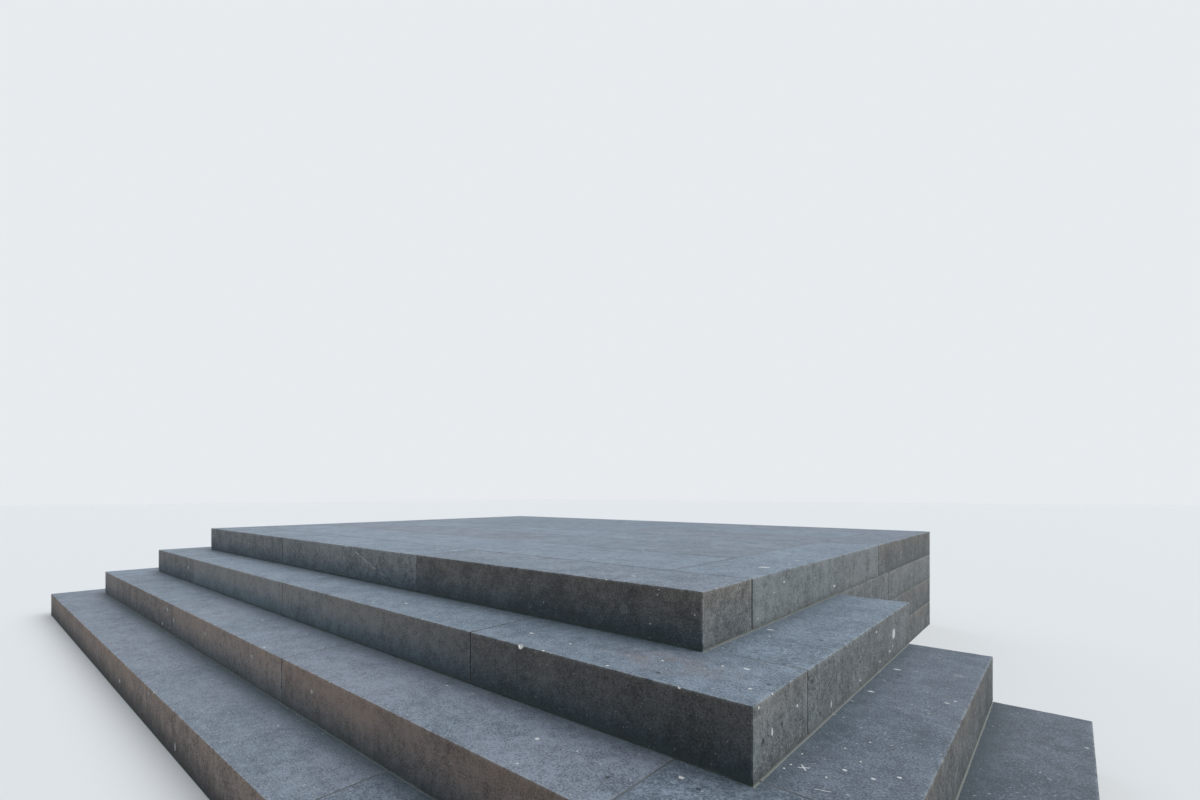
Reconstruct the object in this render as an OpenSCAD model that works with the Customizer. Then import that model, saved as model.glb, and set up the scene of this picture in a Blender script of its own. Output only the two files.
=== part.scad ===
// Outdoor stone steps: a landing against a house wall with three wrap-around treads below it.
// Solid limestone blocks are laid in four courses on a stepped masonry core.
// X runs along the wall, Y from the front to the wall, Z up from the ground.
// The origin is on the ground, in the middle of the whole outline.

/* [Courses] */
// Height of one riser, from tread to tread
riser = 160; // [140:1:180]
// Depth of one tread, from riser to riser
tread_d = 265; // [240:5:300]
// Thickness of the mortar bed under each course
bed_t = 5; // [3:1:10]
// Width of the upright joints between stones
joint_w = 5; // [3:1:8]
// How far the pointing stays behind the riser faces in the upright joints
joint_recess = 2.5; // [1.5:0.5:6]
// How far the pointing stays below the treads and the paving
tread_recess = 1; // [0.5:0.5:4]
// How far the bedding mortar stays behind the riser faces
bed_recess = 1.5; // [1:0.5:4]

/* [Landing] */
// Width of the landing along the wall
landing_w = 4220; // [3900:10:5200]
// Depth of the landing, from its front riser to the wall
landing_d = 3100; // [2600:10:4000]

/* [Side flights] */
// How far the side flights run back from the front riser of the landing
return_l = 1120; // [900:10:1500]

/* [Stones] */
// How far the back of a step block runs in under the course above
seat_w = 30; // [10:1:40]
// Length of a full step block, joint to joint
block_l = 1460; // [1300:5:1560]
// Width of the eased edge along the visible arrises
arris_w = 2; // [1:0.5:4]
// Thickness of the facing blocks of the side walls behind the flights
wall_t = 150; // [100:5:200]

/* [Paving] */
// Thickness of the landing slabs
slab_t = 60; // [40:5:80]
// Thickness of the mortar under the landing slabs
slab_bed_t = 20; // [10:5:40]
// Slabs across in the rows that begin with a whole slab
slabs_across = 4; // [3:1:5]

/* [Hidden] */

// Courses are numbered from the ground: bottom, second and third step, then the landing
BOTTOM = 1;
SECOND = 2;
THIRD = 3;
LANDING = 4;
slab_rows = 6;

total_d = landing_d + (LANDING - BOTTOM) * tread_d;
wall_y = total_d / 2;
block_h = riser - bed_t;
block_d = tread_d + seat_w;

// Places that follow from a course number
function level(c) = (c - 1) * riser;
function half_w(c) = landing_w / 2 + (LANDING - c) * tread_d;
function face_y(c) = wall_y - landing_d - (LANDING - c) * tread_d;
function back_of_row_y(c) = face_y(c) + block_d;
// Side rows start behind the front row and its joint
function side_start_y(c) = back_of_row_y(c) + joint_w;
// Inner face of the side blocks
function side_in(c) = half_w(c) - block_d;

end_y = face_y(LANDING) + return_l;
landing_x = half_w(LANDING);
wall_in = landing_x - wall_t;
top_z = level(LANDING) + riser;
core_top = top_z - slab_t - slab_bed_t;

// Joints of the front row, shifted by half a block from course to course
function front_joints(c) = block_l * (
    c == LANDING ? [-1/2, 1/2] :
    c == SECOND ? [-3/2, -1/2, 1/2, 3/2] :
    [-1, 0, 1]);

// Stone colours, a little different from block to block
stone_tones = ["#5d6468", "#545c61", "#4e5355", "#626a6f", "#595f60"];
function tone(i) = stone_tones[i % len(stone_tones)];
core_tone = "#8d8b86";
mortar_tone = "#b4b2aa";

// Rectangle with its near corners eased, and its far ones where asked
module eased_outline(w, d, near_right = true, far = false) {
    e = arris_w;
    polygon(concat(
        [[0, e], [e, 0]],
        near_right ? [[w - e, 0], [w, e]] : [[w, 0]],
        far ? [[w, d - e], [w - e, d], [e, d], [0, d - e]] : [[w, d], [0, d]]));
}

// The same outline standing up, with the eased corners at the top
module eased_profile(w, h, near_right = true) {
    translate([0, h]) mirror([0, 1]) eased_outline(w, h, near_right);
}

// A dressed stone with its face at y = 0: top, end and upright face edges are eased,
// and the back edges too on a slab that shows on all sides
module dressed_stone(l, d, h, far = false) {
    intersection() {
        linear_extrude(h) eased_outline(l, d, far = far);
        translate([0, d, 0]) rotate([90, 0, 0]) linear_extrude(d) eased_profile(l, h);
        rotate([90, 0, 90]) linear_extrude(l) eased_profile(d, h, near_right = far);
    }
}

// Box from its lowest to its highest corner
module span(low, high) {
    translate(low) cube(high - low);
}

// What is made for the right-hand side, put on the side that is asked for
module on_side(side) {
    if (side == "left") mirror([1, 0, 0]) children();
    else children();
}

module on_both_sides() {
    for (side = ["left", "right"]) on_side(side) children();
}

// One block of a front row, counted from the left
module front_block(c, i) {
    joints = front_joints(c);
    left = i == 1 ? -half_w(c) : joints[i - 2] + joint_w / 2;
    right = i > len(joints) ? half_w(c) : joints[i - 1] - joint_w / 2;
    color(tone(c + i)) translate([left, face_y(c), level(c) + bed_t])
        dressed_stone(right - left, block_d, block_h);
}

// A stone of the right-hand side, its face at x and its ends at two places along Y
module side_stone(c, x, from, to, depth) {
    translate([x, from, level(c) + bed_t]) rotate(90) dressed_stone(to - from, depth, block_h);
}

module step_side(c, side) {
    color(tone(c)) on_side(side) side_stone(c, half_w(c), side_start_y(c), end_y, block_d);
}

// The landing's side border has two blocks, the first of full length
border_joint_y = side_start_y(LANDING) + block_l;
border_ends = [side_start_y(LANDING), border_joint_y - joint_w / 2, border_joint_y + joint_w / 2, wall_y];

module landing_side(side, i) {
    color(tone(i + 2)) on_side(side)
        side_stone(LANDING, landing_x, border_ends[2 * i - 2], border_ends[2 * i - 1], block_d);
}

// Blocks that close the back ends of the two lower side courses
function end_block_out(c) = side_in(c) - joint_w;

module end_blocks(side) {
    color(tone(3)) on_side(side) for (c = [BOTTOM, SECOND])
        translate([end_block_out(c), end_y, level(c) + bed_t]) rotate(180)
            dressed_stone(end_block_out(c) - landing_x, block_d, block_h);
}

// Facing blocks of the side walls, from the side flights to the house wall, in broken bond
function wall_joint_y(c) = (end_y + wall_y) / 2 + (c == SECOND ? wall_t : -wall_t);

module side_wall(side) {
    color(tone(1)) on_side(side) for (c = [BOTTOM:THIRD]) {
        side_stone(c, landing_x, end_y, wall_joint_y(c) - joint_w / 2, wall_t);
        side_stone(c, landing_x, wall_joint_y(c) + joint_w / 2, wall_y, wall_t);
    }
}

// Paving inside the border
pave_x = side_in(LANDING) - joint_w;
pave_y = side_start_y(LANDING);
row_d = (wall_y - pave_y + joint_w) / slab_rows;
slab_w = (2 * pave_x + joint_w) / slabs_across;
function row_y(r) = pave_y + (r - 1) * row_d;
// Middles of the joints across a row: the next row is shifted by half a slab
function row_joints(r) = let (n = r % 2 == 1 ? slabs_across - 1 : slabs_across)
    [for (i = [1:n]) (i - (n + 1) / 2) * slab_w];

module slab_row(r) {
    edge = pave_x + joint_w / 2;
    ends = concat([-edge], row_joints(r), [edge]);
    color(tone(r)) for (i = [1:len(ends) - 1])
        translate([ends[i - 1] + joint_w / 2, row_y(r), top_z - slab_t])
            dressed_stone(ends[i] - ends[i - 1] - joint_w, row_d - joint_w, slab_t, far = true);
}

// Stepped core inside the blocks, back to the ends of the side flights
module core_of_steps() {
    color(core_tone) union() {
        for (c = [THIRD, LANDING])
            span([-side_in(c), back_of_row_y(c), level(c)],
                 [side_in(c), end_y, min(level(c + 1), core_top)]);
        for (c = [BOTTOM, SECOND]) {
            span([-side_in(c), back_of_row_y(c), level(c)],
                 [side_in(c), end_y - block_d, level(c + 1)]);
            span([-landing_x, back_of_row_y(c), level(c)], [landing_x, end_y, level(c + 1)]);
        }
    }
}

// Core between the side walls, from the side flights to the house wall
module core_of_podium() {
    color(core_tone) union() {
        span([-wall_in, end_y, 0], [wall_in, wall_y, level(LANDING)]);
        span([-side_in(LANDING), end_y, 0], [side_in(LANDING), wall_y, core_top]);
    }
}

// Top of the pointing in a course
function joint_top(c) = level(c) + riser - tread_recess;

// Mortar of an upright joint across the right-hand side, up to its recess
module side_pointing(c, inner, outer, from, to) {
    span([inner, from, level(c)], [outer - joint_recess, to, joint_top(c)]);
}

// Mortar under and between the front blocks of a course
module front_mortar(c) {
    span([bed_recess - half_w(c), face_y(c) + bed_recess, level(c)],
         [half_w(c) - bed_recess, back_of_row_y(c), level(c) + bed_t]);
    for (x = front_joints(c))
        span([x - joint_w / 2, face_y(c) + joint_recess, level(c)],
             [x + joint_w / 2, back_of_row_y(c), joint_top(c)]);
}

// Mortar under the side blocks of a course, and behind the front row
module side_mortar(c, back) {
    span([side_in(c), back_of_row_y(c), level(c)], [half_w(c) - bed_recess, back, level(c) + bed_t]);
    side_pointing(c, side_in(c), half_w(c), back_of_row_y(c), side_start_y(c));
}

// Mortar under and between the facing blocks of a side wall
module wall_mortar(c) {
    span([wall_in, end_y, level(c)], [landing_x - bed_recess, wall_y, level(c) + bed_t]);
    side_pointing(c, wall_in, landing_x, wall_joint_y(c) - joint_w / 2, wall_joint_y(c) + joint_w / 2);
}

// Mortar under an end block and between it and the side block
module end_mortar(c) {
    span([landing_x, end_y - block_d, level(c)], [side_in(c), end_y - bed_recess, level(c) + bed_t]);
    span([end_block_out(c), end_y - block_d, level(c)],
         [side_in(c), end_y - joint_recess, joint_top(c)]);
}

module step_mortar(c) {
    color(mortar_tone) union() {
        front_mortar(c);
        on_both_sides() {
            side_mortar(c, end_y - bed_recess);
            wall_mortar(c);
            if (c != THIRD) end_mortar(c);
        }
    }
}

// Mortar of the landing: under its border, under the slabs and in all joints of the paving
module landing_mortar() {
    top = joint_top(LANDING);
    x = side_in(LANDING);
    y = back_of_row_y(LANDING);
    color(mortar_tone) union() {
        front_mortar(LANDING);
        on_both_sides() {
            side_mortar(LANDING, wall_y);
            side_pointing(LANDING, x, landing_x, border_ends[1], border_ends[2]);
            span([pave_x, y, core_top], [x, wall_y, top]);
        }
        span([-x, y, core_top], [x, wall_y, core_top + slab_bed_t]);
        for (r = [1:slab_rows]) {
            span([-x, row_y(r) - joint_w, core_top], [x, row_y(r), top]);
            for (j = row_joints(r))
                span([j - joint_w / 2, row_y(r), core_top], [j + joint_w / 2, row_y(r) + row_d - joint_w, top]);
        }
    }
}

core_of_steps();
core_of_podium();
front_block(BOTTOM, 1);  // bottom_step_front_1
front_block(BOTTOM, 2);  // bottom_step_front_2
front_block(BOTTOM, 3);  // bottom_step_front_3
front_block(BOTTOM, 4);  // bottom_step_front_4
step_side(BOTTOM, "left");  // bottom_step_left
step_side(BOTTOM, "right");  // bottom_step_right
front_block(SECOND, 1);  // second_step_front_1
front_block(SECOND, 2);  // second_step_front_2
front_block(SECOND, 3);  // second_step_front_3
front_block(SECOND, 4);  // second_step_front_4
front_block(SECOND, 5);  // second_step_front_5
step_side(SECOND, "left");  // second_step_left
step_side(SECOND, "right");  // second_step_right
front_block(THIRD, 1);  // third_step_front_1
front_block(THIRD, 2);  // third_step_front_2
front_block(THIRD, 3);  // third_step_front_3
front_block(THIRD, 4);  // third_step_front_4
step_side(THIRD, "left");  // third_step_left
step_side(THIRD, "right");  // third_step_right
front_block(LANDING, 1);  // landing_front_1
front_block(LANDING, 2);  // landing_front_2
front_block(LANDING, 3);  // landing_front_3
landing_side("left", 1);  // landing_left_1
landing_side("left", 2);  // landing_left_2
landing_side("right", 1);  // landing_right_1
landing_side("right", 2);  // landing_right_2
end_blocks("left");  // end_blocks_left
end_blocks("right");  // end_blocks_right
side_wall("left");  // side_wall_left
side_wall("right");  // side_wall_right
slab_row(1);  // slab_row_1
slab_row(2);  // slab_row_2
slab_row(3);  // slab_row_3
slab_row(4);  // slab_row_4
slab_row(5);  // slab_row_5
slab_row(6);  // slab_row_6
step_mortar(BOTTOM);  // mortar_bottom_step
step_mortar(SECOND);  // mortar_second_step
step_mortar(THIRD);  // mortar_third_step
landing_mortar();  // mortar_landing
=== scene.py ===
"""Outdoor stone steps: the look of the limestone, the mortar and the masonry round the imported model."""
import math
import random

import bmesh
import bpy
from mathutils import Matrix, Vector


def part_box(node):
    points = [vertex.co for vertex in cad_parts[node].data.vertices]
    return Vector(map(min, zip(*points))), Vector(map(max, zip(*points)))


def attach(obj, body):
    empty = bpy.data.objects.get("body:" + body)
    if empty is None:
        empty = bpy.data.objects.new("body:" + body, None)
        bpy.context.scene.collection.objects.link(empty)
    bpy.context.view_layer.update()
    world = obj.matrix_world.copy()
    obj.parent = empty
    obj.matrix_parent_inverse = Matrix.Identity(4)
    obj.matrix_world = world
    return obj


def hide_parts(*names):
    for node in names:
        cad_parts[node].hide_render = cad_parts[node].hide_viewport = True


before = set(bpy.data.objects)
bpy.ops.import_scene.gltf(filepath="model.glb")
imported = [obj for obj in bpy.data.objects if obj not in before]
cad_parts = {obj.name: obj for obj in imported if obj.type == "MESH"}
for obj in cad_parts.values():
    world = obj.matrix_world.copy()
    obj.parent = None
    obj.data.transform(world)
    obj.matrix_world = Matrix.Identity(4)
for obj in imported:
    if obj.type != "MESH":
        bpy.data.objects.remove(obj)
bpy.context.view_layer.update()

# Places on the steps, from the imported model
COURSES = ("bottom_step", "second_step", "third_step", "landing")
BOTTOM_FACE, SECOND_FACE, THIRD_FACE, LANDING_FACE = [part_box(course + "_front_2")[0].y for course in COURSES]
BOTTOM_TOP, SECOND_TOP, THIRD_TOP, LANDING_TOP = [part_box(course + "_front_2")[1].z for course in COURSES]
SIDE_STONES = ("second_step_right", "third_step_right", "landing_right_1")
SECOND_SIDE, THIRD_SIDE, LANDING_SIDE = [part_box(node)[1].x for node in SIDE_STONES]
RISER = LANDING_TOP - THIRD_TOP
FLIGHT_SLOPE = (SECOND_SIDE - LANDING_SIDE) / (THIRD_TOP - BOTTOM_TOP)

# Sizes of the dressing in metres, and shares of them
GRID = 0.015  # side of the cells that the faces are cut into
SUPPORT = 0.007  # from an arris to the line that keeps its wear there
ARRIS = 0.0020  # width of an eased arris
ARRIS_SEGMENTS = 3
JOINT_ARRIS_SHARE = 0.6  # of the easing, at a joint
NEAR_ARRIS = 1.1 * ARRIS
ARRIS_WEAR = 0.0016  # deepest wear of an arris
ARRIS_WEAR_LENGTH = 0.030  # of one worn place
JOINT_WEAR_SHARE = 0.7  # of the wear, at a joint
FACE_WAVE = 0.0006  # how far a face is from flat
FACE_WAVE_LENGTH = 0.220
WAVE_DETAIL = 3
WET_AND_SHADED_REACH = 0.075  # from the foot of a riser
BOTTOM_WET_AND_SHADED = 1.5  # how much damp and painted shade the bottom tread gets, when the others get 1; its extra is painted shade

# Chips: their sizes, how far along an arris they lie, and how rough they are for their size
CHIP_SIZES = (0.003, 0.006)
CHIP_SPAN = (0.1, 0.9)
CHIP_ROUGHNESS = 0.5
CHIP_LUMP = 0.010
CHIP_FACETS = 3

# Looks that are drawn for the stones that the photograph doesn't single out
PALE_RANGE = (-0.5, 0.5)
BROWN_RANGE = (-0.3, 0.5)
TURNED_SHARE = 0.25

# How stones are told apart and joined
WIDEST_JOINT = 0.009
SAME_PLACE = 1e-5
ALONG_AXIS = 0.9
UPRIGHT_FACES = ((0, -1), (0, 1), (1, -1), (1, 1))
UNDERSIDE = (2, -1)
SMOOTH_UNDER = math.radians(35)
STONES_IN_NODE = 10


# Camera, where the photograph was taken from

PHOTO_WIDTH = 1200
HORIZON_BELOW_MIDDLE = 94.1
CAMERA_AT = (2.851, -2.445, 0.898)
CAMERA_LEVEL = math.radians(90)
CAMERA_TURN = math.radians(40.34)
CAMERA_LENS = 16.63
SENSOR = 36


def set_camera():
    """A level camera, with the horizon shifted as in the photograph."""
    data = bpy.data.cameras.new("camera")
    data.lens = CAMERA_LENS
    data.sensor_width = SENSOR
    data.shift_y = HORIZON_BELOW_MIDDLE / PHOTO_WIDTH
    camera = bpy.data.objects.new("camera", data)
    camera.location = CAMERA_AT
    camera.rotation_euler = (CAMERA_LEVEL, 0, CAMERA_TURN)
    bpy.context.scene.collection.objects.link(camera)
    bpy.context.scene.camera = camera


# Finishes

# Sockets of Blender's Mix node by number, since those for numbers and for colours share their names
MIX_NUMBERS = (0, 2, 3)
MIXED_NUMBER = 0
MIX_COLOURS = (0, 6, 7)
MIXED_COLOUR = 2

# How far a face looks up or to the front before it counts, and counts fully
LEVEL_FACE = (0.55, 0.85)
FRONT_FACE = (-0.5, -0.8)

SPECK_VARIETY = 0.6  # how much smaller the smallest speck is


def rgb(red, green, blue):
    """A solid colour for a socket."""
    return (red, green, blue, 1.0)


class Nodes:
    """A tree of nodes, and short ways to add to it."""

    def __init__(self, tree):
        self.tree = tree

    def add(self, kind, inputs=None, **settings):
        """Adds a node with its settings, and feeds its sockets."""
        node = self.tree.nodes.new(kind)
        for key, value in settings.items():
            setattr(node, key, value)
        for key, value in (inputs or {}).items():
            self.feed(node.inputs[key], value)
        return node

    def feed(self, socket, value):
        """Links a socket to another node's result, or sets its own value."""
        if isinstance(value, bpy.types.NodeSocket):
            self.tree.links.new(value, socket)
        else:
            socket.default_value = value

    def math(self, operation, a, b=0.0, c=0.0):
        return self.add("ShaderNodeMath", {0: a, 1: b, 2: c}, operation=operation).outputs[0]

    def most(self, a, b):
        return self.math("MAXIMUM", a, b)


class Finish(Nodes):
    """A finish, with patterns that lie on the piece's own coordinates."""

    def __init__(self, name):
        self.material = bpy.data.materials.new(name)
        self.material.use_nodes = True
        super().__init__(self.material.node_tree)
        self.shader = self.tree.nodes["Principled BSDF"]
        self.place = self.add("ShaderNodeTexCoord").outputs["Object"]

    def vector(self, operation, a, b=(0, 0, 0), c=(0, 0, 0), output="Vector"):
        return self.add("ShaderNodeVectorMath", {0: a, 1: b, 2: c}, operation=operation).outputs[output]

    def scaled(self, vector, factor):
        """A vector or a colour times a number."""
        node = self.add("ShaderNodeVectorMath", {0: vector, "Scale": factor}, operation="SCALE")
        return node.outputs["Vector"]

    def length(self, vector):
        return self.vector("LENGTH", vector, output="Value")

    def along(self, vector, direction):
        """How far a vector goes along a direction."""
        return self.vector("DOT_PRODUCT", vector, direction, output="Value")

    def product(self, a, b):
        return self.math("MULTIPLY", a, b)

    def rest(self, a):
        """What a share leaves of the whole."""
        return self.math("SUBTRACT", 1.0, a)

    def linear(self, value, factor, start):
        """Start plus value times factor."""
        return self.math("MULTIPLY_ADD", value, factor, start)

    def swing(self, value, amount):
        """A 0 to 1 value as a swing about nothing, of that whole height."""
        return self.linear(value, amount, -amount / 2)

    def noise(self, vector, scale, detail, roughness=0.5, output="Fac"):
        inputs = {"Vector": vector, "Scale": scale, "Detail": detail, "Roughness": roughness}
        return self.add("ShaderNodeTexNoise", inputs).outputs[output]

    def step(self, value, low, high):
        """0 at low and 1 at high, with a soft step between, whichever of them is the larger."""
        inputs = {"Value": value, "From Min": low, "From Max": high}
        return self.add("ShaderNodeMapRange", inputs, interpolation_type="SMOOTHSTEP").outputs["Result"]

    def mix(self, factor, a, b):
        """A number that goes from a to b."""
        inputs = dict(zip(MIX_NUMBERS, (factor, a, b)))
        return self.add("ShaderNodeMix", inputs).outputs[MIXED_NUMBER]

    def blend(self, factor, a, b):
        """A colour that goes from a to b."""
        inputs = dict(zip(MIX_COLOURS, (factor, a, b)))
        return self.add("ShaderNodeMix", inputs, data_type="RGBA").outputs[MIXED_COLOUR]

    def part(self, vector, axis):
        return self.add("ShaderNodeSeparateXYZ", {"Vector": vector}).outputs[axis]

    def turned(self, vector, degrees):
        inputs = {"Vector": vector, "Rotation": (0, 0, math.radians(degrees))}
        return self.add("ShaderNodeMapping", inputs).outputs["Vector"]

    def facing(self, axis):
        """How far the surface faces along an axis: Z is 1 on treads, and Y is -1 on front risers."""
        return self.part(self.add("ShaderNodeNewGeometry").outputs["Normal"], axis)

    def is_level(self):
        """1 on what is trodden on, and 0 on upright faces."""
        return self.step(self.facing("Z"), *LEVEL_FACE)

    def is_in_front(self):
        """1 on faces that look to the front, and 0 on the others."""
        return self.step(self.facing("Y"), *FRONT_FACE)

    def measure(self, name):
        """A value that is written on the points of the stone."""
        return self.add("ShaderNodeAttribute", attribute_name=name).outputs["Fac"]

    def specks(self, vector, scale, share, radius, softness=0.5):
        """Scattered specks: a share of the cells has one, of up to that radius in cells."""
        cell = self.add("ShaderNodeTexVoronoi", {"Vector": vector, "Scale": scale})
        lot = self.add("ShaderNodeSeparateColor", {"Color": cell.outputs["Color"]})
        here = self.math("GREATER_THAN", lot.outputs["Red"], 1.0 - share)
        smaller = self.product(lot.outputs["Green"], radius * SPECK_VARIETY)
        away = self.math("ADD", smaller, cell.outputs["Distance"])
        return self.product(self.step(away, radius, radius * (1.0 - softness)), here)

    def put_on(self, colour, roughness, relief):
        """Puts colour, roughness and a relief in metres on the shader, and gives the material."""
        self.feed(self.shader.inputs["Base Color"], colour)
        self.feed(self.shader.inputs["Roughness"], roughness)
        bump = self.add("ShaderNodeBump", {"Height": relief, "Strength": 1.0, "Distance": 1.0})
        self.feed(self.shader.inputs["Normal"], bump.outputs["Normal"])
        return self.material


# Limestone colours

TREAD_DARK = rgb(0.070, 0.098, 0.132)
TREAD_PALE = rgb(0.228, 0.292, 0.372)
TREAD_WARM_DARK = rgb(0.095, 0.104, 0.134)
TREAD_WARM_PALE = rgb(0.240, 0.258, 0.320)
RISER_DARK = rgb(0.052, 0.062, 0.068)
RISER_PALE = rgb(0.222, 0.248, 0.262)
RISER_WARM_DARK = rgb(0.066, 0.061, 0.054)
RISER_WARM_PALE = rgb(0.232, 0.220, 0.200)
FOSSIL = rgb(0.60, 0.63, 0.64)
PIT = rgb(0.028, 0.032, 0.036)
# Grime with painted shade, at the feet of the risers
GRIME_AND_SHADE = rgb(0.050, 0.060, 0.054)
RUST = rgb(0.230, 0.185, 0.170)
WORN = rgb(0.34, 0.38, 0.41)
# Damp with painted contact shade, on the treads at the feet of the risers
TREAD_WET_AND_SHADED = rgb(0.045, 0.066, 0.080)
SMEAR = rgb(0.25, 0.27, 0.26)
BROKEN_GREY = rgb(0.52, 0.55, 0.56)
BROKEN_PALE = rgb(0.84, 0.87, 0.88)
BROKEN_HOLLOW = rgb(0.24, 0.26, 0.27)

# What painted light at the tops and painted shade, partly damp, at the feet make of the front risers' colour
FRONT_TOP_PAINTED_LIGHT = rgb(1.50, 1.40, 1.35)
FRONT_FOOT_WET_AND_SHADED = rgb(0.42, 0.64, 0.76)
LOW_TOP_PAINTED_LIGHT = rgb(1.80, 1.46, 1.33)
LOW_FOOT_WET_AND_SHADED = rgb(0.54, 0.60, 0.66)
BOTTOM_FOOT_WET_AND_SHADED = rgb(0.15, 0.16, 0.19)
NO_TINT = rgb(1.0, 1.0, 1.0)

# Limestone patterns: how many to a metre, detail, and roughness where it isn't a half
CLOUD = (3.5, 5.0, 0.55)
PATCH = (11.0, 5.0, 0.6)
MOTTLE = (40.0, 5.0, 0.6)
FLECK = (190.0, 2.0)
GRAIN = (480.0, 2.0, 0.6)
RAGGED_RISE_NOISE = (16.0, 4.0)
RUST_PATCH = (26.0, 6.0, 0.65)
RAGGED_EDGE = (190.0, 2.0)
WANDERING = (38.0, 3.0)
BENDING = (150.0, 2.0)
CRUMBS = (300.0, 4.0, 0.65)
BROKEN_PATCH = (40.0, 3.0)
NEXT_STONE = (3.71, 1.93, 5.37)  # how far the patterns move from one stone to the next

# How strongly the patterns shade or warm the stone
CLOUD_SHADE = 0.8
PATCH_SHADE = 1.15
MOTTLE_SHADE = 1.6
GRAIN_SHADE = 1.6
FLECK_ON_RISER = 2.2
FLECK_ON_TREAD = 2.8
PALE_ON_TREAD = 0.20
PALE_ON_RISER = 0.42
SAW_SHADE = 0.52
# Painted shade that darkens the risers towards their feet
PAINTED_SHADE_BY_HEIGHT = 0.22
CLOUD_WARMTH = 1.1
WARMTH_ON_TREAD = (0.6, 0.1)

# Saw marks that run up the riser or along it: how many to a metre each way, detail and roughness
SAWN_UPRIGHT = ((70.0, 70.0, 3.0), 4.0, 0.6)
SAWN_LEVEL = ((6.0, 6.0, 48.0), 5.0, 0.65)

# Fossils, pores and pits: cells to a metre, the share of them that has one, its radius in cells and its
# softness. Those that slant have their angle first.
FOSSIL_BEND = 0.007
FINE_FOSSILS = (95.0, 0.45, 0.20)
PORES = (120.0, 0.40, 0.24)
PITS = (15.0, 0.20, 0.055, 0.3)
TICKS = (24, (24.0, 105.0, 80.0), 0.30, 0.22)
OTHER_TICKS = (-52, (26.0, 98.0, 70.0), 0.24, 0.22)
SHELLS = (10, (8.0, 13.0, 15.0), 0.16, 0.085, 0.3)
FAINTER_ON_RISERS = 0.55

# How strongly each of them covers the stone, and so does each stain, the wear, and grime and damp with their
# painted shade
FINE_FOSSIL_COVER = 0.55
TICK_COVER = 0.50
SHELL_COVER = 0.75
PORE_COVER = 0.50
PIT_COVER = 0.85
RUST_COVER = 0.5
WORN_COVER = 0.30
GRIME_AND_SHADE_COVER = 0.5
SMEAR_COVER = 0.8
TREAD_WET_AND_SHADED_COVER = (0.9, 0.05)

# Where a pattern begins to show, and shows fully
WORN_WHERE = (0.35, 0.60)
RUSTY_WHERE = (0.35, 0.7)
RUST_FADE = (1.0, 0.2)
BROKEN_PALE_WHERE = (0.35, 0.65)
BROKEN_HOLLOW_WHERE = (0.46, 0.26)

# Painted light and shade, grime and smear: places in metres from the tread, corner or foot of a riser, and the
# smear's strength in front
RAGGED_RISE_DEPTH = 0.036
LIGHT_AND_SHADE_RISE = (0.008, 0.138)
GRIME_AND_SHADE_RISE = (0.052, 0.012)
CORNER_SHADE_REACH = 2.2
HAIR = 0.001  # half the width of a sharp change
SMEAR_EDGE = (0.0050, 0.0035)
SMEAR_START = (-0.004, -0.002)
SMEAR_RAGGED = 0.004
SMEAR_IN_FRONT = 0.6

# Single marks: how strongly each kind shows, and how ragged and soft spots and lines are
PALE_MARKS = {"fossil": 1.0, "ghost": 0.12, "white_vein": 1.0, "vein": 0.5, "smear": 0.08}
DARK_MARKS = {"pit": 1.0, "crack": 0.7}
SPOT_RAGGED = 0.9
SPOT_SOFT = 0.2
LINE_CORE = 0.3

# Roughness: what the pattern adds to it and what it begins at, and the honed treads' share
STONE_ROUGHNESS = (0.25, 0.58)
BROKEN_ROUGHNESS = (0.2, 0.62)
TREAD_ROUGHNESS = -0.05

# Relief in metres
GRAIN_RELIEF = 0.00020
FLECK_RELIEF = 0.00070
MOTTLE_RELIEF = 0.00060
FOSSIL_RELIEF = 0.00010
PIT_RELIEF = -0.0012
PORE_RELIEF = -0.00015
SAW_RELIEF = 0.00045
CRUMB_RELIEF = 0.0010


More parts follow.
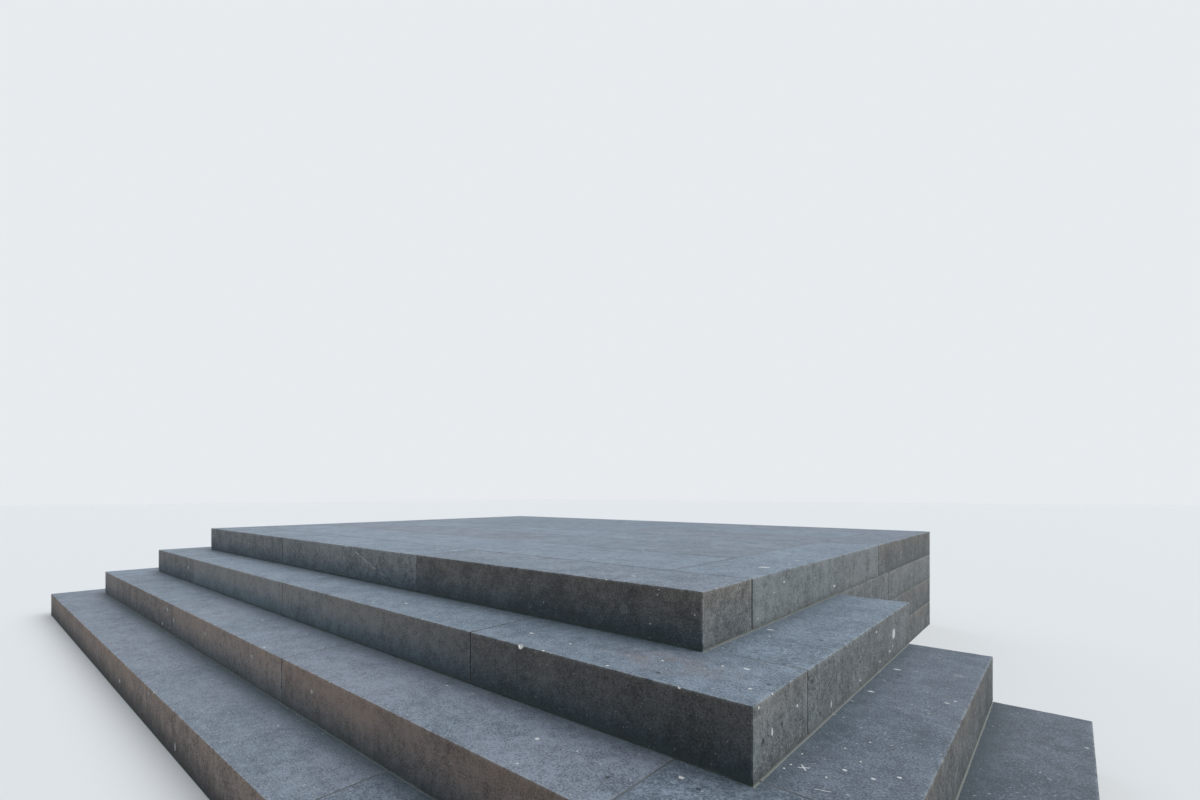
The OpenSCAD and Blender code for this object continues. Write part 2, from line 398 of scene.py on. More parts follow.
class Limestone(Finish):
    """Dark blue limestone, honed on the treads and sawn on the risers."""

    def __init__(self, name):
        super().__init__(name)
        self.point = self.vector("MULTIPLY_ADD", self.measure("stone"), NEXT_STONE, self.place)
        self.tread = self.is_level()
        self.riser = self.rest(self.tread)
        self.front = self.is_in_front()
        self.height = self.part(self.place, "Z")
        self.up_riser = self.math("MODULO", self.height, RISER)
        # A ragged height up each riser, which the painted light and shade of the risers and their grime follow
        height_term = self.product(self.noise(self.point, *RAGGED_RISE_NOISE), RAGGED_RISE_DEPTH)
        self.ragged_rise = self.math("ADD", height_term, self.up_riser)
        self.cloud, self.patch, self.mottle, self.fleck, self.grain = [
            self.noise(self.point, *pattern) for pattern in (CLOUD, PATCH, MOTTLE, FLECK, GRAIN)]
        self.saw = self.saw_marks()
        bend = self.noise(self.point, *BENDING, output="Color")
        self.bent = self.vector("MULTIPLY_ADD", bend, (FOSSIL_BEND,) * 3, self.point)

    def saw_marks(self):
        """Saw marks run up the risers, or along them where the stone was turned on its bed."""
        upright, level = [self.noise(self.vector("MULTIPLY", self.point, scale), 1.0, detail, roughness)
                          for scale, detail, roughness in (SAWN_UPRIGHT, SAWN_LEVEL)]
        return self.mix(self.measure("turned"), upright, level)

    def bare_colour(self):
        """The clean stone, from dark to pale and from blue to brown; risers get painted shade and a bluer
        painted reflection towards their feet.
        """
        pale = self.mix(self.riser, PALE_ON_TREAD, PALE_ON_RISER)
        shade = self.linear(self.measure("pale"), pale, 0.5)
        for pattern, amount in ((self.cloud, CLOUD_SHADE), (self.patch, PATCH_SHADE),
                                (self.mottle, MOTTLE_SHADE), (self.grain, GRAIN_SHADE)):
            shade = self.math("ADD", shade, self.swing(pattern, amount))
        fleck_shade = self.mix(self.tread, FLECK_ON_RISER, FLECK_ON_TREAD)
        shade = self.linear(self.math("SUBTRACT", self.fleck, 0.5), fleck_shade, shade)
        # Risers grow darker towards their feet as painted shade, and bluer there as a painted reflection of
        # the tread
        up = self.linear(self.up_riser, 1.0 / RISER, -0.5)
        sawn_shade = self.math("ADD", shade, self.swing(self.saw, SAW_SHADE))
        sawn_shade = self.linear(up, PAINTED_SHADE_BY_HEIGHT, sawn_shade)
        warm = self.math("ADD", self.measure("brown"), self.swing(self.cloud, CLOUD_WARMTH))
        honed = self.blend(self.linear(warm, *WARMTH_ON_TREAD),
                           self.blend(shade, TREAD_DARK, TREAD_PALE),
                           self.blend(shade, TREAD_WARM_DARK, TREAD_WARM_PALE))
        sawn = self.blend(self.math("ADD", warm, up),
                          self.blend(sawn_shade, RISER_DARK, RISER_PALE),
                          self.blend(sawn_shade, RISER_WARM_DARK, RISER_WARM_PALE))
        return self.blend(self.tread, sawn, honed)

    def paint_front_light(self, colour):
        """Painted light at the tops of the front risers, warmer on the lower courses, and painted shade,
        partly wet, towards their feet.
        """
        upper = self.step(self.height, SECOND_TOP - HAIR, SECOND_TOP + HAIR)
        lowest = self.step(self.height, BOTTOM_TOP + HAIR, BOTTOM_TOP - HAIR)
        foot = self.blend(lowest, self.blend(upper, LOW_FOOT_WET_AND_SHADED, FRONT_FOOT_WET_AND_SHADED), BOTTOM_FOOT_WET_AND_SHADED)
        top = self.blend(upper, LOW_TOP_PAINTED_LIGHT, FRONT_TOP_PAINTED_LIGHT)
        # painted light at the top of each front riser, painted shade, partly damp, at its foot
        height_term = self.blend(self.step(self.ragged_rise, *LIGHT_AND_SHADE_RISE), foot, top)
        return self.vector("MULTIPLY", colour, self.blend(self.front, NO_TINT, height_term))

    def paint_shade(self, colour):
        """Painted shade: front risers grow darker smoothly towards the right-hand corner, and some treads are
        darker all over.
        """
        middle_of_bottom = BOTTOM_TOP + RISER / 2
        half_width = self.linear(self.height, -FLIGHT_SLOPE, SECOND_SIDE + middle_of_bottom * FLIGHT_SLOPE)
        to_corner = self.math("SUBTRACT", half_width, self.part(self.place, "X"))
        corner_shade = self.product(self.step(to_corner, CORNER_SHADE_REACH, 0.0), self.measure("painted_front_shade"))
        darkening = self.product(self.tread, self.measure("painted_tread_shade"))
        return self.scaled(colour, self.rest(self.most(self.product(self.front, corner_shade), darkening)))

    def slanting(self, degrees, scale, share, radius, softness=0.5):
        """Long fossils that lie at an angle."""
        cells = self.vector("MULTIPLY", self.turned(self.bent, degrees), scale)
        return self.specks(cells, 1.0, share, radius, softness)

    def fossils(self):
        """Fine specks, short ticks in two directions, and a few shells."""
        fine = self.product(self.specks(self.bent, *FINE_FOSSILS), FINE_FOSSIL_COVER)
        ticks = self.product(self.most(self.slanting(*TICKS), self.slanting(*OTHER_TICKS)), TICK_COVER)
        small = self.product(self.most(fine, ticks), self.mix(self.tread, FAINTER_ON_RISERS, 1.0))
        return self.most(small, self.product(self.slanting(*SHELLS), SHELL_COVER))

    def spot(self, ragged, centre, size):
        """1 inside a ragged spot of that half size round its centre, and 0 outside it."""
        away = self.length(self.vector("DIVIDE", self.vector("SUBTRACT", self.place, centre), size))
        edge = 1.0 + SPOT_RAGGED / 2
        return self.step(self.linear(ragged, SPOT_RAGGED, away), edge, edge - SPOT_SOFT)

    def line(self, wander, start, end, width, straying):
        """1 along a thin line between two places, which strays from it by up to half of that."""
        run = Vector(end) - Vector(start)
        stray = self.vector("MULTIPLY_ADD", wander, (straying,) * 3, (-straying / 2,) * 3)
        from_start = self.vector("SUBTRACT", self.vector("ADD", self.place, stray), start)
        share = self.along(from_start, run / run.length_squared)
        share = self.math("MINIMUM", self.most(share, 0.0), 1.0)
        away = self.length(self.vector("SUBTRACT", from_start, self.scaled(tuple(run), share)))
        return self.step(away, width, width * LINE_CORE)

    def rust(self, centre, size):
        """1 in the patches of a rust mark, and 0 outside it."""
        away = self.length(self.vector("DIVIDE", self.vector("SUBTRACT", self.place, centre), size))
        patches = self.step(self.noise(self.place, *RUST_PATCH), *RUSTY_WHERE)
        return self.product(self.step(away, *RUST_FADE), patches)

    def add_marks(self, marks, fossil, pit):
        """Adds the single marks of one stone to its fossils and pits, and gives its rust as well."""
        ragged = self.noise(self.place, *RAGGED_EDGE)
        wander = self.noise(self.place, *WANDERING, output="Color")
        rust = 0.0
        for kind, *where in marks:
            if kind == "rust":
                rust = self.rust(*where)
                continue
            is_spot = len(where) == 2
            shape = self.spot(ragged, *where) if is_spot else self.line(wander, *where)
            if kind in PALE_MARKS:
                fossil = self.most(fossil, self.product(shape, PALE_MARKS[kind]))
            else:
                pit = self.most(pit, self.product(shape, DARK_MARKS[kind]))
        return fossil, pit, rust

    def smear_strip(self, away):
        """1 in the narrow ragged strip that begins where away is nothing."""
        ragged = self.linear(self.patch, SMEAR_RAGGED, away)
        return self.product(self.step(ragged, *SMEAR_EDGE), self.step(away, *SMEAR_START))

    def smear(self):
        """1 where mortar is smeared on the treads along the feet of the risers, and 0 elsewhere."""
        from_middle = self.math("ABSOLUTE", self.part(self.place, "X"))
        to_front = self.product(self.part(self.place, "Y"), -1.0)
        out = self.linear(self.height, FLIGHT_SLOPE, from_middle)
        out = self.math("SUBTRACT", out, SECOND_SIDE + BOTTOM_TOP * FLIGHT_SLOPE)
        ahead = self.linear(self.height, FLIGHT_SLOPE, to_front)
        ahead = self.math("ADD", ahead, SECOND_FACE - BOTTOM_TOP * FLIGHT_SLOPE)
        below_landing = self.step(self.height, LANDING_TOP - RISER / 4, LANDING_TOP - RISER / 2)
        low_down = self.step(self.height, SECOND_TOP + RISER / 2, BOTTOM_TOP)
        at_sides = self.product(self.smear_strip(out), self.step(ahead, HAIR, -HAIR))
        in_front = self.product(self.smear_strip(ahead), self.step(out, HAIR, -HAIR))
        in_front = self.product(self.product(in_front, low_down), SMEAR_IN_FRONT)
        return self.most(self.product(at_sides, below_landing), in_front)

    def soil_and_shade(self, colour):
        """Trodden arrises are paler, and stone near the feet of the risers is darker with wetness, grime and
        painted shade.
        """
        worn = self.product(self.measure("arris"), self.step(self.mottle, *WORN_WHERE))
        colour = self.blend(self.product(worn, WORN_COVER), colour, WORN)
        # Grime and painted shade at the foot of each riser
        grimy_and_shaded = self.product(self.step(self.ragged_rise, *GRIME_AND_SHADE_RISE), self.riser)
        colour = self.blend(self.product(grimy_and_shaded, GRIME_AND_SHADE_COVER), colour, GRIME_AND_SHADE)
        # Damp and painted contact shade on each tread at the foot of the riser, more on the bottom tread
        wet_and_shaded = self.product(self.measure("near_riser"), self.linear(self.patch, *TREAD_WET_AND_SHADED_COVER))
        colour = self.blend(self.product(wet_and_shaded, self.tread), colour, TREAD_WET_AND_SHADED)
        smeared = self.product(self.smear(), self.tread)
        return self.blend(self.product(smeared, SMEAR_COVER), colour, SMEAR)

    def dress(self, marks=()):
        """Lays the stone's colours over each other and gives the material."""
        fossil, rust = self.fossils(), 0.0
        pore = self.specks(self.bent, *PORES)
        pit = self.specks(self.bent, *PITS)
        if marks:
            fossil, pit, rust = self.add_marks(marks, fossil, pit)
        colour = self.paint_shade(self.paint_front_light(self.bare_colour()))
        colour = self.blend(self.product(pore, PORE_COVER), colour, PIT)
        colour = self.blend(self.product(rust, RUST_COVER), colour, RUST)
        colour = self.blend(fossil, self.soil_and_shade(colour), FOSSIL)
        colour = self.blend(self.product(pit, PIT_COVER), colour, PIT)
        roughness = self.linear(self.mottle, *STONE_ROUGHNESS)
        roughness = self.linear(self.tread, TREAD_ROUGHNESS, roughness)
        relief, sawn = self.product(self.grain, GRAIN_RELIEF), self.product(self.saw, self.riser)
        for pattern, depth in ((self.fleck, FLECK_RELIEF), (self.mottle, MOTTLE_RELIEF), (sawn, SAW_RELIEF),
                               (fossil, FOSSIL_RELIEF), (pit, PIT_RELIEF), (pore, PORE_RELIEF)):
            relief = self.linear(pattern, depth, relief)
        return self.put_on(colour, roughness, relief)


def broken_limestone():
    """The pale, sugary surface where a chip has left the stone."""
    broken = Finish("broken_limestone")
    crumbs = broken.noise(broken.place, *CRUMBS)
    pale = broken.step(broken.noise(broken.place, *BROKEN_PATCH), *BROKEN_PALE_WHERE)
    colour = broken.blend(pale, BROKEN_GREY, BROKEN_PALE)
    colour = broken.blend(broken.step(crumbs, *BROKEN_HOLLOW_WHERE), colour, BROKEN_HOLLOW)
    roughness = broken.linear(crumbs, *BROKEN_ROUGHNESS)
    return broken.put_on(colour, roughness, broken.product(crumbs, CRUMB_RELIEF))


# Mortar and masonry, each colour of the mortar as its dark and its pale patches

SIDE_BED = (rgb(0.125, 0.140, 0.134), rgb(0.200, 0.215, 0.205))
# The beds at the front are darker than those at the sides: painted shade, partly damp
SHADED_FRONT_BED = (rgb(0.045, 0.070, 0.066), rgb(0.105, 0.140, 0.128))
SHADED_LOW_FRONT_BED = (rgb(0.080, 0.108, 0.104), rgb(0.145, 0.180, 0.168))
UPRIGHT_JOINT = (rgb(0.080, 0.086, 0.086), rgb(0.140, 0.148, 0.145))
# Tread and slab joints are painted paler than their mortar: painted light that evens out the shade of the
# recess, most at the slabs
TREAD_JOINT = (rgb(0.070, 0.085, 0.105), rgb(0.120, 0.145, 0.175))
SLAB_JOINT = (rgb(0.090, 0.110, 0.135), rgb(0.150, 0.182, 0.215))
BORDER_GAP = rgb(0.040, 0.050, 0.060)
# Painted shadow that stands in the deep upright joints
PAINTED_JOINT_SHADOW = rgb(0.016, 0.018, 0.019)
SAND_GRAIN = rgb(0.42, 0.42, 0.40)
CORE_DARK = rgb(0.20, 0.195, 0.18)
CORE_PALE = rgb(0.36, 0.35, 0.32)

# Their patterns, where these show, their roughness and their relief
MORTAR_SAND = (650.0, 3.0, 0.7)
MORTAR_PATCH = (12.0, 4.0, 0.6)
CORE_COARSE = (22.0, 6.0, 0.65)
CORE_FINE = (240.0, 3.0)
PALE_WHERE = (0.3, 0.7)
GRAINS_WHERE = (0.62, 0.78)
GRAIN_COVER = 0.6
MORTAR_ROUGHNESS = (0.1, 0.82)
CORE_ROUGHNESS = 0.88
SAND_RELIEF = 0.0007
COARSE_RELIEF = 0.004
FINE_RELIEF = 0.0008

# How high a bed reaches above the tread under it, and how far the looks of single joints reach
BED_TOP = (0.0052, 0.0080)
JOINT_SHADOW_REACH = (0.8 * RISER, 0.6 * RISER)
FLUSH_REACH = (1.2 * RISER, RISER)
BORDER_REACH = (4.5 * RISER, 3.5 * RISER)

# Upright joints whose mortar is painted near black, as the painted shadow of a deep joint
SHADOWED_JOINTS = [
    (LANDING_SIDE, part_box("landing_right_1")[0].y, LANDING_TOP - RISER / 2),
    (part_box("third_step_front_4")[0].x, THIRD_FACE, THIRD_TOP - RISER / 2),
    (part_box("second_step_front_4")[0].x, SECOND_FACE, SECOND_TOP - RISER / 2),
    (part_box("bottom_step_front_3")[0].x, BOTTOM_FACE, BOTTOM_TOP - RISER / 2),
]
# A joint between treads whose mortar is painted pale enough to look flush, and the middle of the dark one
# behind the landing's border
FLUSH_JOINT = (THIRD_SIDE - 0.15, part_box("third_step_right")[0].y, THIRD_TOP)
BORDER_JOINT = (1.4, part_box("slab_row_1")[0].y, LANDING_TOP)


class Mortar(Finish):
    """Sandy mortar: pale in the side beds, darker in the front beds as painted shade and wetness, dark in the
    upright joints and near black as painted shadow in the deep ones.
    """

    def __init__(self, name):
        super().__init__(name)
        self.sand = self.noise(self.place, *MORTAR_SAND)
        self.patch = self.step(self.noise(self.place, *MORTAR_PATCH), *PALE_WHERE)
        self.height = self.part(self.place, "Z")

    def patchy(self, colours):
        """The dark and the pale colour in patches."""
        return self.blend(self.patch, *colours)

    def near(self, place, reach, full):
        """1 within the full distance of a place, falling to nothing at its reach."""
        return self.step(self.length(self.vector("SUBTRACT", self.place, place)), reach, full)

    def beds(self):
        """The level joints under the courses; those at the front are darker, as painted shade and wetness."""
        low = self.step(self.height, SECOND_TOP, BOTTOM_TOP + RISER / 2)
        front = self.blend(low, self.patchy(SHADED_FRONT_BED), self.patchy(SHADED_LOW_FRONT_BED))
        return self.blend(self.is_in_front(), self.patchy(SIDE_BED), front)

    def joints_from_above(self):
        """The joints between treads and slabs, flush among the slabs and dark behind the landing's border."""
        on_landing = self.step(self.height, THIRD_TOP + RISER / 4, THIRD_TOP + RISER / 2)
        flush = self.most(on_landing, self.near(FLUSH_JOINT, *FLUSH_REACH))
        border = self.near(BORDER_JOINT, *BORDER_REACH)
        flush = self.product(flush, self.rest(border))
        colour = self.blend(flush, self.patchy(TREAD_JOINT), self.patchy(SLAB_JOINT))
        return self.blend(border, colour, BORDER_GAP)

    def dress(self):
        """Lays the mortar's colours over each other and gives the material."""
        joint_shadow = 0.0
        for joint in SHADOWED_JOINTS:
            joint_shadow = self.most(joint_shadow, self.near(joint, *JOINT_SHADOW_REACH))
        upright = self.blend(joint_shadow, self.patchy(UPRIGHT_JOINT), PAINTED_JOINT_SHADOW)
        up_riser = self.math("MODULO", self.height, RISER)
        colour = self.blend(self.step(up_riser, *BED_TOP), self.beds(), upright)
        colour = self.blend(self.is_level(), colour, self.joints_from_above())
        grains = self.product(self.step(self.sand, *GRAINS_WHERE), self.rest(joint_shadow))
        colour = self.blend(self.product(grains, GRAIN_COVER), colour, SAND_GRAIN)
        roughness = self.linear(self.sand, *MORTAR_ROUGHNESS)
        return self.put_on(colour, roughness, self.product(self.sand, SAND_RELIEF))


def rough_masonry():
    """Plain rough masonry and fill behind the stones."""
    core = Finish("core_masonry")
    coarse = core.noise(core.place, *CORE_COARSE)
    fine = core.noise(core.place, *CORE_FINE)
    colour = core.blend(core.step(coarse, *PALE_WHERE), CORE_DARK, CORE_PALE)
    relief = core.linear(fine, FINE_RELIEF, core.product(coarse, COARSE_RELIEF))
    return core.put_on(colour, CORE_ROUGHNESS, relief)


# What the photograph shows stone by stone

# How pale and how brown a stone is, whether its saw marks lie level, how much painted shade darkens its front
# towards the right-hand corner, and how much painted shade darkens its tread
LOOK_OF_STONE = {
    "landing_front_1": dict(pale=0.1, brown=-0.2),
    "landing_front_2": dict(pale=0.3, brown=-0.7),
    "landing_front_3": dict(pale=-0.33, brown=0.2, turned=True, painted_front_shade=0.4),
    "landing_right_1": dict(pale=0.38, brown=-0.5),
    "third_step_front_1": dict(),
    "third_step_front_2": dict(pale=1.0, brown=0.05),
    "third_step_front_3": dict(pale=0.5, painted_front_shade=0.6),
    "third_step_front_4": dict(painted_front_shade=0.6),
    "third_step_right": dict(brown=-0.25),
    "second_step_front_3": dict(pale=0.55, brown=0.4),
    "second_step_front_4": dict(pale=0.45, brown=0.6, painted_front_shade=0.38),
    "second_step_front_5": dict(pale=-0.3, brown=0.2, painted_front_shade=0.38),
    "second_step_right": dict(pale=-0.55, brown=0.1, painted_tread_shade=0.22),
    "bottom_step_front_1": dict(pale=-0.1, brown=0.3),
    "bottom_step_front_2": dict(pale=0.2, brown=0.5),
    "bottom_step_front_3": dict(pale=0.1, brown=0.4, painted_front_shade=0.25),
    "bottom_step_front_4": dict(pale=-0.2, brown=0.3, painted_front_shade=0.3),
    "bottom_step_right": dict(pale=-0.6, brown=0.1, painted_tread_shade=0.35),
    "slab_row_1": dict(pale=0.55, brown=-0.1),
}


def riser_places(face, top):
    """Places on a front riser: along it, and down from its top."""
    return lambda x, down: (x, face, top - down)


def side_places(side):
    """Places on a right-hand riser: behind the landing's front, and down from its top."""
    return lambda behind, down: (side, LANDING_FACE + behind, LANDING_TOP - down)


def tread_places(face, top):
    """Places on a tread: along it, and behind its front."""
    return lambda x, behind: (x, face + behind, top)


landing_riser = riser_places(LANDING_FACE, LANDING_TOP)
third_riser = riser_places(THIRD_FACE, THIRD_TOP)
second_riser = riser_places(SECOND_FACE, SECOND_TOP)
bottom_riser = riser_places(BOTTOM_FACE, BOTTOM_TOP)
landing_side = side_places(LANDING_SIDE)
third_side = side_places(THIRD_SIDE)
on_landing = tread_places(LANDING_FACE, LANDING_TOP)
on_third = tread_places(THIRD_FACE, THIRD_TOP)
on_second = tread_places(SECOND_FACE, SECOND_TOP)


# Half sizes of spots along X, Y and Z, one of which is the depth into the face
DEPTH = 0.01
TICK = (0.0025, 0.003, 0.0025)
GHOST = (0.017, 0.02, 0.017)
SMALL_FOSSIL = (0.005, 0.004, DEPTH)
TREAD_FOSSIL = (0.01, 0.005, DEPTH)
LONG_FOSSIL = (0.013, 0.005, DEPTH)
SMALL_PIT = (0.006, 0.006, DEPTH)
TREAD_PIT = (0.01, 0.006, DEPTH)
RISER_FOSSIL = (0.012, DEPTH, 0.01)
SMALL_ON_RISER = (0.008, DEPTH, 0.007)
SIDE_PIT = (DEPTH, 0.007, 0.006)
SIDE_TICK = (DEPTH, 0.005, 0.004)
TALL_TICK = (DEPTH, 0.004, 0.01)
SIDE_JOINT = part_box("landing_right_1")[0].y - LANDING_FACE
# This mark, of the crack kind, paints the shadow of the landing's side joint onto the stones beside it
SIDE_JOINT_SHADOW = ("crack", landing_side(SIDE_JOINT, 0.0), landing_side(SIDE_JOINT, RISER), 0.006, 0.001)


def fossils(on_face, size, *places):
    """White fossils of one size on one face."""
    return [("fossil", on_face(*place), size) for place in places]


def pits(on_face, size, *places):
    """Dark pits of one size on one face."""
    return [("pit", on_face(*place), size) for place in places]


# Spots have a place and a half size, lines two ends, a width and how far they stray
MARKS = {
    "landing_front_1": fossils(landing_riser, (0.006, DEPTH, 0.005), (-1.295, 0.07)),
    "landing_front_2": [
        *fossils(landing_riser, TICK, (-0.25, 0.145)),
        *fossils(on_landing, TREAD_FOSSIL, (0.605, 0.185), (0.71, 0.21)),
        ("white_vein", landing_riser(0.185, 0.025), landing_riser(0.375, 0.09), 0.0036, 0.024),
        ("vein", landing_riser(0.4, 0.105), landing_riser(0.47, 0.115), 0.003, 0.02)],
    "landing_front_3": [
        ("ghost", landing_riser(1.845, 0.08), GHOST),
        *fossils(landing_riser, TICK, (1.97, 0.01), (1.965, 0.025), (2.085, 0.065),
                 (1.94, 0.11), (1.505, 0.105)),
        *fossils(on_landing, TREAD_FOSSIL, (1.8, 0.11)),
        *fossils(on_landing, SMALL_FOSSIL, (1.7, 0.08)),
        ("vein", landing_side(0.19, 0.025), landing_side(0.205, 0.01), 0.0018, 0.002),
        ("vein", landing_side(0.205, 0.025), landing_side(0.22, 0.015), 0.0016, 0.002),
        SIDE_JOINT_SHADOW],
    "landing_right_1": [
        *fossils(landing_side, (DEPTH, 0.008, 0.003), (0.545, 0.04)),
        *fossils(landing_side, (DEPTH, 0.006, 0.002), (0.465, 0.065)),
        *fossils(landing_side, (DEPTH, 0.012, 0.005), (1.07, 0.12)),
        *fossils(on_landing, (0.02, 0.01, DEPTH), (2.03, 0.575)),
        *fossils(on_landing, SMALL_FOSSIL, (2.065, 0.705), (2.085, 0.815)),
        *fossils(on_landing, TREAD_FOSSIL, (2.045, 0.84)),
        *pits(on_landing, (0.012, 0.008, DEPTH), (1.865, 1.03)),
        *pits(landing_side, (DEPTH, 0.03, 0.005), (0.57, 0.158)),
        SIDE_JOINT_SHADOW],
    "slab_row_1": [
        *fossils(on_landing, TREAD_FOSSIL, (1.4, 0.375)),
        *fossils(on_landing, SMALL_FOSSIL, (1.45, 0.46))],
    "slab_row_2": fossils(on_landing, LONG_FOSSIL, (1.355, 0.78)),
    "third_step_front_1": fossils(third_riser, RISER_FOSSIL, (-1.58, 0.065)),
    "third_step_front_3": [
        *fossils(on_third, SMALL_FOSSIL, (0.795, 0.04)),
        *fossils(on_third, TREAD_FOSSIL, (0.91, 0.11))],
    "third_step_front_4": [
        *fossils(third_side, TALL_TICK, (-0.175, 0.24)),
        *fossils(third_side, SIDE_TICK, (-0.035, 0.225)),
        *fossils(third_side, (DEPTH, 0.004, 0.004), (-0.24, 0.17)),
        *pits(third_side, SIDE_PIT, (-0.125, 0.24), (-0.22, 0.245)),
        *fossils(on_third, TREAD_FOSSIL, (1.615, 0.11), (2.26, 0.21)),
        *fossils(on_third, SMALL_FOSSIL, (1.785, 0.1), (1.775, 0.005), (1.99, 0.015),
                 (2.07, 0.135), (2.205, 0.195), (2.325, 0.09)),
        *pits(on_third, SMALL_PIT, (2.115, 0.05), (2.345, 0.14)),
        ("crack", third_riser(1.675, 0.005), third_riser(1.675, 0.13), 0.0016, 0.003),
        ("rust", (2.08, LANDING_FACE - 0.13, THIRD_TOP), (0.26, 0.12, 0.05))],
    "third_step_right": [
        *fossils(third_side, TALL_TICK, (0.2, 0.29)),
        *fossils(third_side, SIDE_TICK, (0.855, 0.275), (0.685, 0.29)),
        *fossils(third_side, (DEPTH, 0.007, 0.003), (0.46, 0.295)),
        *fossils(third_side, (DEPTH, 0.008, 0.004), (0.64, 0.185)),
        *fossils(third_side, (DEPTH, 0.008, 0.005), (0.815, 0.285)),
        *fossils(third_side, (DEPTH, 0.022, 0.019), (0.87, 0.235)),
        *pits(third_side, SIDE_PIT, (0.46, 0.24), (0.115, 0.29), (0.06, 0.195)),
        *fossils(on_third, LONG_FOSSIL, (2.145, 0.615)),
        *fossils(on_third, SMALL_FOSSIL, (2.175, 0.54)),
        *pits(on_third, TREAD_PIT, (2.305, 0.59))],
    "second_step_front_2": fossils(second_riser, RISER_FOSSIL, (-0.835, 0.04), (-0.94, 0.13)),
    "second_step_front_3": [
        *fossils(second_riser, RISER_FOSSIL, (-0.715, 0.08)),
        *fossils(second_riser, SMALL_ON_RISER, (-0.165, 0.06), (0.435, 0.05)),
        ("smear", second_riser(0.719, 0.0), second_riser(0.719, RISER), 0.005, 0.001),
        *fossils(on_second, TREAD_FOSSIL, (0.02, 0.175))],
    "second_step_front_4": [
        *fossils(second_riser, SMALL_ON_RISER, (0.98, 0.06)),
        *fossils(on_second, SMALL_FOSSIL, (1.415, 0.215)),
        *fossils(on_second, (0.006, 0.006, DEPTH), (1.89, 0.14)),
        *fossils(on_second, TICK, (1.945, 0.03), (2.005, 0.155)),
        *pits(on_second, SMALL_PIT, (2.13, 0.11))],
    "second_step_front_5": [
        *fossils(on_second, (0.007, 0.006, DEPTH), (2.245, 0.207)),
        *pits(on_second, SMALL_PIT, (2.295, 0.19))],
    "second_step_right": [
        ("white_vein", on_second(2.412, 0.403), on_second(2.43, 0.415), 0.0024, 0.002),
        ("white_vein", on_second(2.414, 0.417), on_second(2.428, 0.401), 0.0024, 0.002),
        ("white_vein", on_second(2.47, 0.34), on_second(2.5, 0.35), 0.002, 0.012),
        *fossils(on_second, TICK, (2.421, 0.409), (2.505, 0.515), (2.395, 0.47), (2.395, 0.405),
                 (2.39, 0.38), (2.47, 0.4), (2.495, 0.63), (2.46, 0.56)),
        *fossils(on_second, SMALL_FOSSIL, (2.49, 0.455), (2.545, 0.455), (2.585, 0.495), (2.605, 1.06)),
        *fossils(on_second, LONG_FOSSIL, (2.415, 1.265)),
        *fossils(on_second, TREAD_FOSSIL, (2.405, 0.99)),
        ("ghost", on_second(2.58, 1.32), GHOST),
        *pits(on_second, TREAD_PIT, (2.435, 1.2))],
    "bottom_step_front_2": fossils(bottom_riser, RISER_FOSSIL, (-0.385, 0.095)),
    "bottom_step_front_3": [
        *fossils(bottom_riser, SMALL_ON_RISER, (0.16, 0.025)),
        *fossils(bottom_riser, (0.007, DEPTH, 0.016), (0.545, 0.115))],
}

# Chips that the photograph shows, each with its place and its radius
CHIPS = {
    "third_step_front_4": [(on_third(1.69, 0.0), 0.015)],
    "landing_front_2": [(on_landing(0.088, 0.0), 0.008)],
}


# Modelling

def pick(*pieces):
    """Selects these objects alone and makes the first one active."""
    bpy.ops.object.select_all(action="DESELECT")
    for piece in pieces:
        piece.select_set(True)
    bpy.context.view_layer.objects.active = pieces[0]


def join(pieces):
    """Joins several objects into the first one and returns it."""
    pick(*pieces)
    if len(pieces) > 1:
        bpy.ops.object.join()
    return pieces[0]


def work(piece, kind, **settings):
    """Works a piece with a modifier of that kind and applies it."""
    pick(piece)
    modifier = piece.modifiers.new("work", kind)
    for key, value in settings.items():
        setattr(modifier, key, value)
    bpy.ops.object.modifier_apply(modifier=modifier.name)


def select_edges(piece, wanted):
    """Selects the edges that the test wants, in edit mode."""
    bpy.ops.mesh.select_all(action="DESELECT")
    mesh = bmesh.from_edit_mesh(piece.data)
    for edge in mesh.edges:
        if wanted(edge):
            edge.select_set(True)
    bmesh.update_edit_mesh(piece.data)


def clouds(name, size):
    """A cloudy pattern to sink surfaces by, with lumps of that size."""
    texture = bpy.data.textures.new(name, "CLOUDS")
    texture.noise_scale = size
    texture.noise_depth = WAVE_DETAIL
    return texture


ARRIS_PATTERN = clouds("arris_wear", ARRIS_WEAR_LENGTH)
FACE_PATTERN = clouds("face_wave", FACE_WAVE_LENGTH)
CHIP_PATTERN = clouds("chip", CHIP_LUMP)


def sink(piece, pattern, depth, group=""):
    """Sinks the surface by up to that depth, as the pattern says."""
    work(piece, "DISPLACE", texture=pattern, texture_coords="LOCAL", strength=depth, mid_level=1.0,
         vertex_group=group)


def nearness_to_riser(place):
    """How much wetness and painted shade a tread gets: most at the foot of the riser on it, and nothing past
    their reach.
    """
    for top, face, side, darkening in ((THIRD_TOP, LANDING_FACE, LANDING_SIDE, 1.0),
                                  (SECOND_TOP, THIRD_FACE, THIRD_SIDE, 1.0),
                                  (BOTTOM_TOP, SECOND_FACE, SECOND_SIDE, BOTTOM_WET_AND_SHADED)):
        if abs(place.z - top) < RISER / 4:
            away = max(face - place.y, abs(place.x) - side)
            return darkening * min(1.0, max(0.0, 1.0 - away / WET_AND_SHADED_REACH))
    return 0.0


